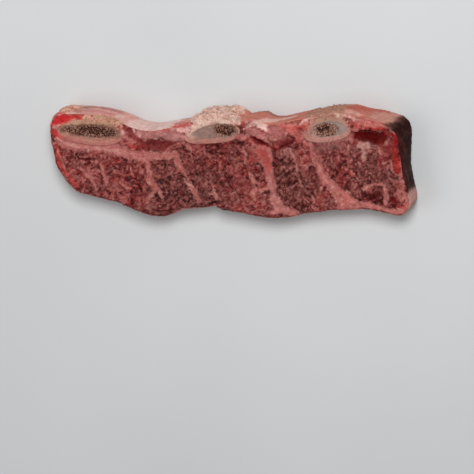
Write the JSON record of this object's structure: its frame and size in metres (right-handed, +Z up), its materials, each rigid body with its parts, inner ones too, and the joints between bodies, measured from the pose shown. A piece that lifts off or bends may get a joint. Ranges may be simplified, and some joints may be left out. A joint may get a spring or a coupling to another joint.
{
  "type": "raw beef short ribs",
  "caption": "Flat strip of raw beef short ribs sawn across the rib bones, with spongy marrow showing in each sawn bone and fat seams between the muscles.",
  "frame": {"origin": "on the resting cut face, under the middle of the strip's footprint", "axes": "+Z up through the thickness, from the lower cut face to the upper one; +X along the strip, towards the end beyond the smallest rib; +Y towards the side that the ribs lie along"},
  "size_m": [0.2014, 0.0598, 0.0185],
  "materials": {
    "lean_and_fat": "moist raw beef: dark red lean with a coarse cut grain, pale pink fat seams and a thin film of juice",
    "rib_bone": "sawn rib bone: tan, dense and slightly damp",
    "marrow": "spongy marrow bone: grey brown with dark pores"
  },
  "bodies": {
    "root": {"meat": "lean_and_fat", "bone_left": "rib_bone", "bone_middle": "rib_bone", "bone_right": "rib_bone", "marrow_left": "marrow", "marrow_middle": "marrow", "marrow_right": "marrow"}
  },
  "joints": []
}
